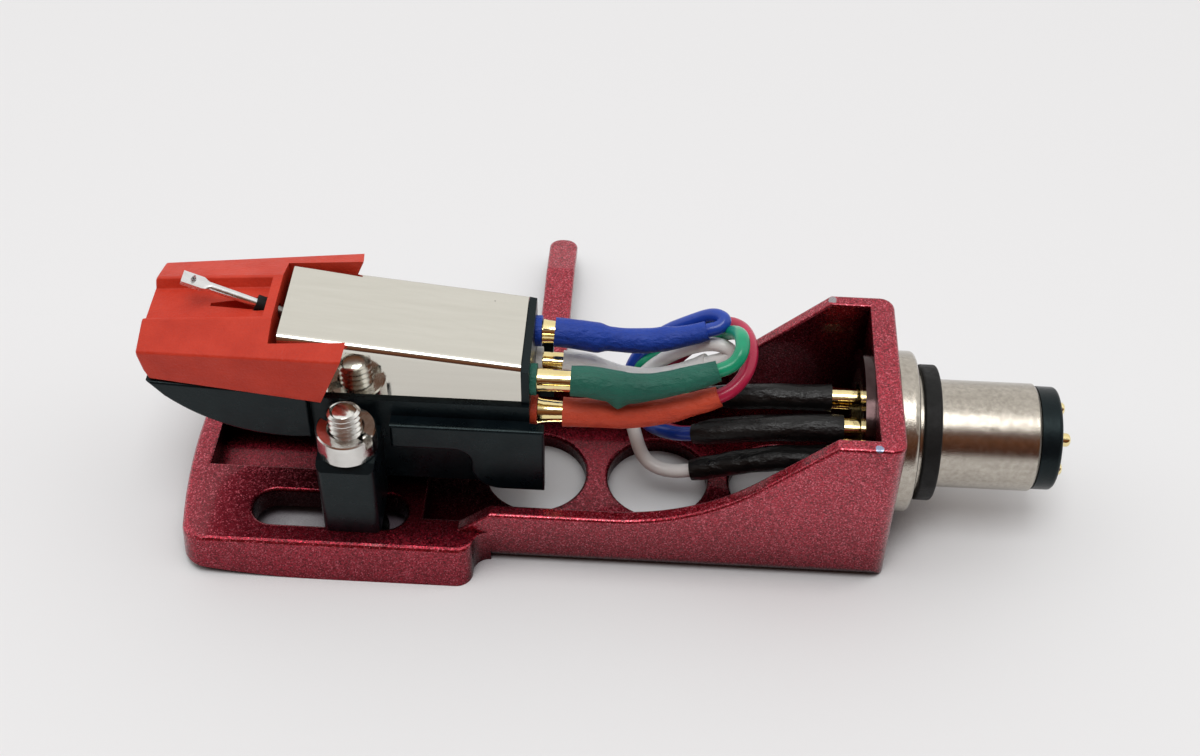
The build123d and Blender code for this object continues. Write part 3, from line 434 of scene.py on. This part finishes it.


# The shell's burgundy paint: deep red with pale metal flakes, chipped twice, with painted shade in its
# corners and recesses
paint = {
    "deep": (0.105, 0.001, 0.006),
    "flake": (0.600, 0.036, 0.070),
    "spark": (0.74, 0.15, 0.20),
    "flakeScale": 12800,
    "tilt": 0.22,
    # painted shade: the near-black the paint turns to in corners, holes and recesses, within this reach in
    # mm
    "corner": (0.018, 0.0005, 0.0015),
    "cornerReach": 8,
    "coat": 0.72,
    "chips": (
        {"place": (34.75, 7.35, 13.95), "radius": 0.34, "tone": (0.36, 0.33, 0.35)},
        {"place": (37.41, -7.60, 13.98), "radius": 0.30, "tone": (0.30, 0.36, 0.52)},
    ),
}


def paintMaterial():
    mat, tree, shader = startMaterial("shell_paint")
    flakes = useGroup(tree, "flakes", {"Scale": paint["flakeScale"], "Tilt": paint["tilt"]})
    tone = mixColours(tree, flakes.outputs["Value"], paint["deep"], paint["flake"])
    cloud = useGroup(tree, "grain", {"Scale": 170, "Low": 0.0, "High": 0.35})
    tone = mixColours(tree, cloud.outputs["Value"], tone, paint["deep"])
    tone = mixColours(tree, flakes.outputs["Spark"], tone, paint["spark"])
    # painted shade: occlusion darkens the paint in corners and recesses
    corner = put(tree, "ShaderNodeAmbientOcclusion", {"Distance": paint["cornerReach"] * mm}, samples=6)
    clear = put(tree, "ShaderNodeMapRange", {"From Min": 0.36, "From Max": 0.94})
    join(tree, corner.outputs["AO"], clear.inputs["Value"])
    tone = mixColours(tree, clear.outputs["Result"], paint["corner"], tone)
    for chip in paint["chips"]:
        spot = useGroup(tree, "spot", {"Place": Vector(chip["place"]) * mm, "Radius": chip["radius"] * mm})
        tone = mixColours(tree, spot.outputs["Mask"], tone, chip["tone"])
    join(tree, tone, shader.inputs["Base Color"])
    dull = useGroup(tree, "grain", {"Scale": 2600, "Low": 0.22, "High": 0.34})
    join(tree, dull.outputs["Value"], shader.inputs["Roughness"])
    join(tree, flakes.outputs["Normal"], shader.inputs["Normal"])
    shader.inputs["Metallic"].default_value = 0.86
    shader.inputs["Specular IOR Level"].default_value = 0.08
    # painted shade: the clear coat is thinned where occlusion is high, dimming reflections in corners and
    # recesses
    coat = put(tree, "ShaderNodeMapRange", {"From Min": 0.40, "From Max": 0.95, "To Max": paint["coat"]})
    join(tree, corner.outputs["AO"], coat.inputs["Value"])
    join(tree, coat.outputs["Result"], shader.inputs["Coat Weight"])
    shader.inputs["Coat Roughness"].default_value = 0.10
    return mat


finishes = {name: finishMaterial(name) for name in finishFacts}
finishes["shell_paint"] = paintMaterial()
for nodeName, slotName in slotOf.items():
    mesh = nodes[nodeName].data
    mesh.materials.clear()
    mesh.materials.append(finishes["dark_nickel" if nodeName == "collar_lock_ring" else slotName])
print("finishes,", len(finishes))


# Pieces
def addPiece(name, bm, node, smoothTo=38):
    mesh = bpy.data.meshes.new(name)
    bm.to_mesh(mesh)
    bm.free()
    mesh.materials.append(finishes[slotOf[node]])
    mesh.shade_smooth()
    mesh.set_sharp_from_angle(angle=math.radians(smoothTo))
    piece = bpy.data.objects.new(name, mesh)
    bpy.context.scene.collection.objects.link(piece)
    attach(piece, bodyOf[node])
    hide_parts(node)
    return piece


# Leads. The routes repeat the ones the wires follow between their clips.
leadFacts = {
    "green": {
        "terminal": (-2.5, 14.0), "contact": (1.57, 9.37), "sleeveStart": 15.65, "blackEnd": 35.4,
        "grip": (16.4, -2.5, 14.0),
        "sleeve": ((17.8, -2.5, 13.9), (19.8, -2.45, 13.4), (21.7, -2.3, 13.6), (24.1, -2.0, 14.25)),
        "sleeveEnd": (26.2, -1.7, 14.9), "blackStart": (24.4, 1.57, 8.7),
        "loop": ((27.3, -1.3, 15.2), (27.9, -0.5, 15.9), (27.8, 1.3, 15.9), (26.9, 4.3, 13.0),
                 (25.6, 5.2, 11.2), (24.1, 5.2, 10.4), (22.0, 5.15, 9.4), (20.5, 5.25, 8.35),
                 (20.6, 5.1, 6.8), (21.6, 3.9, 6.4), (22.8, 2.3, 7.5)),
        "slit": 62, "flare": 0.04, "droop": 0, "seed": 3.1,
    },
    "red": {
        "terminal": (-2.5, 10.8), "contact": (1.57, 6.23), "sleeveStart": 15.05, "blackEnd": 35.6,
        "grip": (16.4, -2.5, 10.8),
        "sleeve": ((17.9, -2.5, 10.85), (20.8, -2.45, 10.8), (23.6, -2.2, 11.45)),
        "sleeveEnd": (26.4, -1.9, 12.45), "blackStart": (25.4, 1.57, 4.9),
        "loop": ((27.5, -1.4, 12.9), (28.4, -0.2, 13.5), (28.75, 1.8, 13.75), (28.2, 4.6, 13.3),
                 (26.6, 6.1, 12.4), (24.7, 6.2, 9.9), (22.9, 5.8, 8.0),
                 (21.9, 4.9, 5.9), (21.9, 3.6, 4.0), (23.3, 2.4, 3.8)),
        "slit": 100, "flare": 0.16, "droop": 0, "seed": 8.4,
    },
    "blue": {
        "terminal": (2.5, 14.0), "contact": (-1.57, 9.37), "sleeveStart": 14.15, "blackEnd": 36.3,
        "grip": (15.6, 2.5, 13.85),
        "sleeve": ((17.5, 2.6, 13.45), (20.9, 2.85, 13.05), (24.1, 3.1, 13.6)),
        "sleeveEnd": (25.4, 3.25, 14.1), "blackStart": (24.6, -1.57, 8.0),
        "loop": ((26.35, 3.4, 14.3), (26.75, 4.0, 14.6), (25.8, 4.7, 14.45), (24.2, 5.1, 13.2),
                 (22.2, 5.5, 11.6), (20.5, 5.7, 9.15), (19.7, 5.5, 7.1),
                 (19.9, 4.0, 5.5), (21.2, 1.9, 5.2), (22.9, -0.5, 6.9)),
        "slit": 48, "flare": 0.10, "droop": 3, "seed": 12.7,
    },
    "white": {
        "terminal": (2.5, 10.8), "contact": (-1.57, 6.23), "sleeveStart": 14.55, "blackEnd": 35.8,
        "clipEnd": 15.1, "grip": (16.3, 2.5, 10.75),
        "sleeve": ((17.7, 2.6, 9.9), (19.4, 2.65, 9.3), (22.1, 2.7, 9.3), (24.2, 2.75, 10.3)),
        "sleeveEnd": (25.6, 2.75, 11.3), "blackStart": (24.7, -1.57, 3.9),
        "loop": ((26.8, 2.6, 11.85), (27.45, 2.7, 12.65), (26.1, 3.1, 13.05), (24.1, 3.95, 11.6),
                 (22.2, 4.1, 10.1), (20.6, 4.15, 8.1), (19.7, 3.2, 6.6),
                 (20.25, 0.9, 5.75), (21.1, -0.7, 4.0), (22.7, -1.4, 3.6)),
        "slit": 75, "flare": 0.0, "droop": 2, "seed": 17.9,
    },
}
leadSizes = {
    "clipStart": 13.35, "clipEnd": 17.25, "lastBend": 31.4,
    "shellClipStart": 33.6, "shellClipEnd": 37.2, "wire": 0.53, "clip": 0.80, "sheet": 0.14,
    "wireStart": 16.8, "wireEnd": 34.6, "slitGap": 26, "colouredWaves": 0.07, "blackWaves": 0.14,
}


def smoothLine(points):
    curve = bpy.data.curves.new("route", "CURVE")
    curve.dimensions = "3D"
    curve.resolution_u = 14
    spline = curve.splines.new("NURBS")
    spline.points.add(len(points) - 1)
    for knot, point in zip(spline.points, points):
        knot.co = (point[0] * mm, point[1] * mm, point[2] * mm, 1)
    spline.order_u = 3
    spline.use_endpoint_u = True
    guide = bpy.data.objects.new("route", curve)
    mesh = bpy.data.meshes.new_from_object(guide)
    line = [v.co.copy() for v in mesh.vertices]
    bpy.data.objects.remove(guide)
    bpy.data.curves.remove(curve)
    bpy.data.meshes.remove(mesh)
    return line


def leadLine(colour):
    facts, sizes = leadFacts[colour], leadSizes
    points = [(sizes["clipStart"], *facts["terminal"]), facts["grip"], *facts["sleeve"],
              facts["sleeveEnd"], *facts["loop"], facts["blackStart"],
              (sizes["lastBend"], *facts["contact"]), (sizes["shellClipEnd"], *facts["contact"])]
    return smoothLine(points)


def nearest(line, point):
    goal = Vector(point) * mm
    return min(range(len(line)), key=lambda i: (line[i] - goal).length)


def tubeAlong(line, radii, sides):
    bm = bmesh.new()
    bmesh.ops.create_circle(bm, cap_ends=False, segments=sides, radius=1.0)
    verts, edges = list(bm.verts), list(bm.edges)
    heading = (line[1] - line[0]).normalized()
    turn = Vector((0, 0, 1)).rotation_difference(heading).to_matrix().to_4x4()
    last = Matrix.Identity(4)
    for i, point in enumerate(line):
        ahead = (line[min(i + 1, len(line) - 1)] - line[max(i - 1, 0)]).normalized()
        turn = heading.rotation_difference(ahead).to_matrix().to_4x4() @ turn
        heading = ahead
        if i:
            grown = bmesh.ops.extrude_edge_only(bm, edges=edges)["geom"]
            verts = [g for g in grown if isinstance(g, bmesh.types.BMVert)]
            made = [g for g in grown if isinstance(g, bmesh.types.BMEdge)]
            edges = [e for e in made if all(v in verts for v in e.verts)]
        else:
            firstEdges = edges
        here = Matrix.Translation(point) @ turn @ Matrix.Scale(radii[i], 4)
        bmesh.ops.transform(bm, matrix=here @ last.inverted(), verts=verts)
        last = here
    for rim in (firstEdges, edges):
        bmesh.ops.contextual_create(bm, geom=rim)
    bmesh.ops.recalc_face_normals(bm, faces=bm.faces)
    return bm


def between(knots, x):
    for (x0, y0), (x1, y1) in zip(knots, knots[1:]):
        if x <= x1:
            t = max(0.0, (x - x0) / (x1 - x0))
            return y0 + (y1 - y0) * t * t * (3 - 2 * t)
    return knots[-1][1]


def lengths(line):
    run, out = 0.0, [0.0]
    for a, b in zip(line, line[1:]):
        run += (b - a).length / mm
        out.append(run)
    return out


# Shrink sleeves: radius along the run, thick over the clip and drawn in behind it, with a wavy skin
sleeveShapes = {
    "green": ((0, 1.13), (2.2, 1.16), (3.4, 1.20), (4.4, 1.10), (6.2, 0.98), (8.7, 0.90), (11.0, 0.80)),
    "red": ((0, 1.07), (4.0, 1.08), (6.0, 1.03), (8.0, 0.95), (10.0, 0.84), (12.0, 0.72)),
    "blue": ((0, 1.10), (3.2, 1.14), (4.1, 0.91), (6.5, 0.94), (7.7, 0.91), (10.2, 0.79), (11.6, 0.69)),
    "white": ((0, 0.98), (2.0, 1.02), (3.4, 0.98), (4.8, 0.90), (8.0, 0.85), (11.0, 0.74)),
    "black": ((0, 0.74), (1.2, 0.84), (4.0, 0.90), (7.0, 0.96), (10.0, 1.0), (14.0, 0.96)),
}
# a drip of the green skin, on its lower side
drip = {
    "node": "cartridge_sleeve_green", "place": (19.15, -3.3, 12.6), "reach": 0.95, "push": (0, -0.34, -0.34),
}


def sleevePiece(node, line, knots, seed, waves):
    runs = lengths(line)
    radii = [between(knots, s) * mm for s in runs]
    bm = tubeAlong(line, radii, 28)
    for v in bm.verts:                                    # waves of the shrunk skin
        wave = noise.noise(v.co * 420 + Vector((seed, 0, 0))) * waves + noise.noise(v.co * 1100) * 0.03
        axis = line[min(range(len(line)), key=lambda i: (line[i] - v.co).length_squared)]
        v.co += (v.co - axis).normalized() * wave * mm
    if node == drip["node"]:
        for v in bm.verts:
            away = (v.co / mm - Vector(drip["place"])).length / drip["reach"]
            v.co += Vector(drip["push"]) * max(0.0, 1 - away) ** 1.3 * mm
    return addPiece(node + "Skin", bm, node, 60)


def splitClip(node, centre, start, end, flare, slit, droop):
    sizes = leadSizes
    radius, long = sizes["clip"], end - start
    profile = ((0, radius + flare), (0.10 * long, radius + flare * 0.4), (0.28 * long, radius),
               (0.5 * long, radius - flare * 0.3), (0.8 * long, radius), (long, radius))
    bm = bmesh.new()
    bmesh.ops.create_vert(bm, co=((start + profile[0][0]) * mm, 0, profile[0][1] * mm))
    tip = list(bm.verts)
    for (x0, r0), (x1, r1) in zip(profile, profile[1:]):
        grown = bmesh.ops.extrude_vert_indiv(bm, verts=tip)
        tip = grown["verts"]
        bmesh.ops.translate(bm, verts=tip, vec=((x1 - x0) * mm, 0, (r1 - r0) * mm))
    gap = math.radians(sizes["slitGap"])
    slitTurn = Matrix.Rotation(math.radians(slit) + gap / 2, 3, "X")
    bmesh.ops.rotate(bm, verts=bm.verts, cent=(0, 0, 0), matrix=slitTurn)
    bmesh.ops.spin(
        bm, geom=bm.verts[:] + bm.edges[:], cent=(0, 0, 0), axis=(1, 0, 0), dvec=(0, 0, 0),
        angle=2 * math.pi - gap, steps=30, use_merge=False, use_duplicate=False,
    )
    bmesh.ops.remove_doubles(bm, verts=bm.verts, dist=0.001 * mm)
    bmesh.ops.recalc_face_normals(bm, faces=bm.faces)
    bmesh.ops.solidify(bm, geom=bm.faces[:], thickness=sizes["sheet"] * mm)
    bmesh.ops.recalc_face_normals(bm, faces=bm.faces)
    droopTurn = Matrix.Rotation(math.radians(droop), 3, "Y")
    bmesh.ops.rotate(bm, verts=bm.verts, cent=(start * mm, 0, 0), matrix=droopTurn)
    bmesh.ops.translate(bm, verts=bm.verts, vec=(0, centre[0] * mm, centre[1] * mm))
    return addPiece(node + "Split", bm, node, 40)


sizes = leadSizes
for colour, facts in leadFacts.items():
    line = leadLine(colour)
    coloured = [p for p in line[:nearest(line, facts["sleeveEnd"]) + 1] if p.x >= facts["sleeveStart"] * mm]
    sleevePiece("cartridge_sleeve_" + colour, coloured, sleeveShapes[colour], facts["seed"],
                sizes["colouredWaves"])
    black = [p for p in line[nearest(line, facts["blackStart"]):] if p.x <= facts["blackEnd"] * mm]
    sleevePiece("headshell_sleeve_" + colour, black, sleeveShapes["black"], facts["seed"] + 5,
                sizes["blackWaves"])
    first = nearest(line, (sizes["wireStart"], *facts["terminal"]))
    last = nearest(line, (sizes["wireEnd"], *facts["contact"]))
    wire = line[first:last + 1]
    wireTube = tubeAlong(wire, [sizes["wire"] * mm] * len(wire), 18)
    addPiece("wire" + colour.capitalize(), wireTube, "lead_wire_" + colour, 60)
    clipEnd = facts.get("clipEnd", sizes["clipEnd"])
    splitClip("cartridge_clip_" + colour, facts["terminal"], sizes["clipStart"], clipEnd,
              facts["flare"], facts["slit"], facts["droop"])
    splitClip("headshell_clip_" + colour, facts["contact"], sizes["shellClipStart"], sizes["shellClipEnd"],
              0.0, facts["slit"], 0)
print("leads,", len(leadFacts))


# Mounting screws with cut threads, domed tips and slotted heads
screw = {
    "places": ((0, -6.35), (0, 6.35)), "headLow": 0.15, "headHigh": 1.2, "headRadius": 2.3, "slot": 0.6,
    "slotDepth": 0.5, "radius": 1.22, "root": 1.0, "pitch": 0.48, "threadLow": 11.3, "tip": 13.95,
}


def spinProfile(bm, profile, steps):
    tip = bmesh.ops.create_vert(bm, co=(profile[0][0] * mm, 0, profile[0][1] * mm))["vert"]
    made = list(tip)
    for (r0, z0), (r1, z1) in zip(profile, profile[1:]):
        tip = bmesh.ops.extrude_vert_indiv(bm, verts=tip)["verts"]
        bmesh.ops.translate(bm, verts=tip, vec=((r1 - r0) * mm, 0, (z1 - z0) * mm))
        made += tip
    edges = [e for e in bm.edges if all(v in made for v in e.verts)]
    bmesh.ops.spin(
        bm, geom=made + edges, cent=(0, 0, 0), axis=(0, 0, 1), dvec=(0, 0, 0),
        angle=2 * math.pi, steps=steps, use_merge=True, use_duplicate=False,
    )


def threadedScrews():
    facts = screw
    steps, turns = 24, int((facts["tip"] - 0.22 - facts["threadLow"]) / facts["pitch"])
    bm = bmesh.new()
    # one turn of thread as a tent-shaped line, swept along the helix
    tent = ((facts["root"], 0.0), (facts["radius"], 0.42), (facts["radius"], 0.58), (facts["root"], 1.0))
    for r, share in tent:
        bmesh.ops.create_vert(bm, co=(r * mm, 0, (facts["threadLow"] + share * facts["pitch"]) * mm))
    bm.verts.ensure_lookup_table()
    for i in range(len(tent) - 1):
        bmesh.ops.contextual_create(bm, geom=[bm.verts[i], bm.verts[i + 1]])
    bmesh.ops.spin(
        bm, geom=bm.verts[:] + bm.edges[:], cent=(0, 0, 0), axis=(0, 0, 1),
        dvec=(0, 0, facts["pitch"] / steps * mm), angle=2 * math.pi * turns, steps=steps * turns,
        use_merge=False, use_duplicate=False,
    )
    bmesh.ops.remove_doubles(bm, verts=bm.verts, dist=0.002 * mm)
    # core, dome and head
    dome = [(0.0, facts["tip"]), (0.40, facts["tip"] - 0.01), (0.72, facts["tip"] - 0.06),
            (0.92, facts["tip"] - 0.16), (1.01, facts["tip"] - 0.30),
            (facts["root"] - 0.01, facts["threadLow"]),
            (facts["radius"], facts["threadLow"] - 0.1), (facts["radius"], facts["headHigh"]),
            (facts["headRadius"] - 0.1, facts["headHigh"]), (facts["headRadius"], facts["headHigh"] - 0.1),
            (facts["headRadius"], facts["headLow"] + 0.2), (facts["headRadius"] - 0.2, facts["headLow"]),
            (0.0, facts["headLow"])]
    spinProfile(bm, dome, 40)
    bmesh.ops.remove_doubles(bm, verts=bm.verts, dist=0.001 * mm)
    bmesh.ops.recalc_face_normals(bm, faces=bm.faces)
    # the slot: cut the head's outer face along two lines and push the strip in
    half = facts["slot"] / 2
    for y in (-half, half):
        low = [f for f in bm.faces if f.calc_center_median().z < (facts["headHigh"] - 0.15) * mm]
        cut = set(low)
        for f in low:
            cut.update(f.verts)
            cut.update(f.edges)
        place = (0, y * mm, 0)
        bmesh.ops.bisect_plane(bm, geom=list(cut), dist=0.0001 * mm, plane_co=place, plane_no=(0, 1, 0))
    strip = [f for f in bm.faces if abs(f.calc_center_median().y) < half * mm
             and f.calc_center_median().z < (facts["headLow"] + 0.02) * mm and abs(f.normal.z) > 0.9]
    pushed = bmesh.ops.extrude_face_region(bm, geom=strip)["geom"]
    bmesh.ops.delete(bm, geom=strip, context="FACES_KEEP_BOUNDARY")
    moved = [g for g in pushed if isinstance(g, bmesh.types.BMVert)]
    bmesh.ops.translate(bm, verts=moved, vec=(0, 0, facts["slotDepth"] * mm))
    bmesh.ops.recalc_face_normals(bm, faces=bm.faces)
    twin = bmesh.ops.duplicate(bm, geom=bm.verts[:] + bm.edges[:] + bm.faces[:])["geom"]
    second = [g for g in twin if isinstance(g, bmesh.types.BMVert)]
    chosen = set(second)
    firstOnes = [v for v in bm.verts if v not in chosen]
    for verts, place in ((firstOnes, facts["places"][0]), (second, facts["places"][1])):
        bmesh.ops.translate(bm, verts=verts, vec=(place[0] * mm, place[1] * mm, 0))
    return addPiece("screwsThreaded", bm, "mounting_screws", 35)


# Round nuts with one slot across the top
nut = {
    "low": 10.2, "high": 12.2, "radius": 2.15, "bore": 1.27, "edge": 0.10, "slot": 0.75, "slotDepth": 0.8,
    "places": ((0, -6.35), (0, 6.35)), "turns": (-32, 15),
}


def slottedNut(bm, place, turn):
    facts = nut
    low, high, edge, radius, bore = (facts[k] for k in ("low", "high", "edge", "radius", "bore"))
    ring = ((bore, low), (radius - edge, low), (radius, low + edge), (radius, high - edge),
            (radius - edge, high), (bore + edge, high), (bore, high - edge), (bore, low))
    one = bmesh.new()
    spinProfile(one, ring, 48)
    bmesh.ops.remove_doubles(one, verts=one.verts, dist=0.001 * mm)
    bmesh.ops.recalc_face_normals(one, faces=one.faces)
    half, floor = facts["slot"] / 2 * mm, (high - facts["slotDepth"]) * mm
    cuts = (((0, half, 0), (0, 1, 0)), ((0, -half, 0), (0, 1, 0)), ((0, 0, floor), (0, 0, 1)))
    for point, normal in cuts:
        everything = one.verts[:] + one.edges[:] + one.faces[:]
        bmesh.ops.bisect_plane(one, geom=everything, dist=0.0005 * mm, plane_co=point, plane_no=normal)
    inSlot = [f for f in one.faces if abs(f.calc_center_median().y) < half
              and f.calc_center_median().z > floor]
    bmesh.ops.delete(one, geom=inSlot, context="FACES")
    near = 0.002 * mm
    for end in (-1, 1):
        for side in (-half, half):               # upright walls of the slot
            rim = [e for e in one.edges if e.is_boundary and all(
                abs(v.co.y - side) < near and v.co.x * end > 0 for v in e.verts)]
            bmesh.ops.contextual_create(one, geom=rim)
        rim = [e for e in one.edges if e.is_boundary and all(
            abs(v.co.z - floor) < near and v.co.x * end > 0 for v in e.verts)]
        bmesh.ops.contextual_create(one, geom=rim)
    bmesh.ops.recalc_face_normals(one, faces=one.faces)
    slotTurn = Matrix.Rotation(math.radians(turn), 3, "Z")
    bmesh.ops.rotate(one, verts=one.verts, cent=(0, 0, 0), matrix=slotTurn)
    bmesh.ops.translate(one, verts=one.verts, vec=(place[0] * mm, place[1] * mm, 0))
    made = bpy.data.meshes.new("nut")
    one.to_mesh(made)
    one.free()
    bm.from_mesh(made)
    bpy.data.meshes.remove(made)


def slottedNuts():
    bm = bmesh.new()
    for place, turn in zip(nut["places"], nut["turns"]):
        slottedNut(bm, place, turn)
    return addPiece("nutsSlotted", bm, "mounting_nuts", 30)


slottedNuts()
threadedScrews()
print("screws")
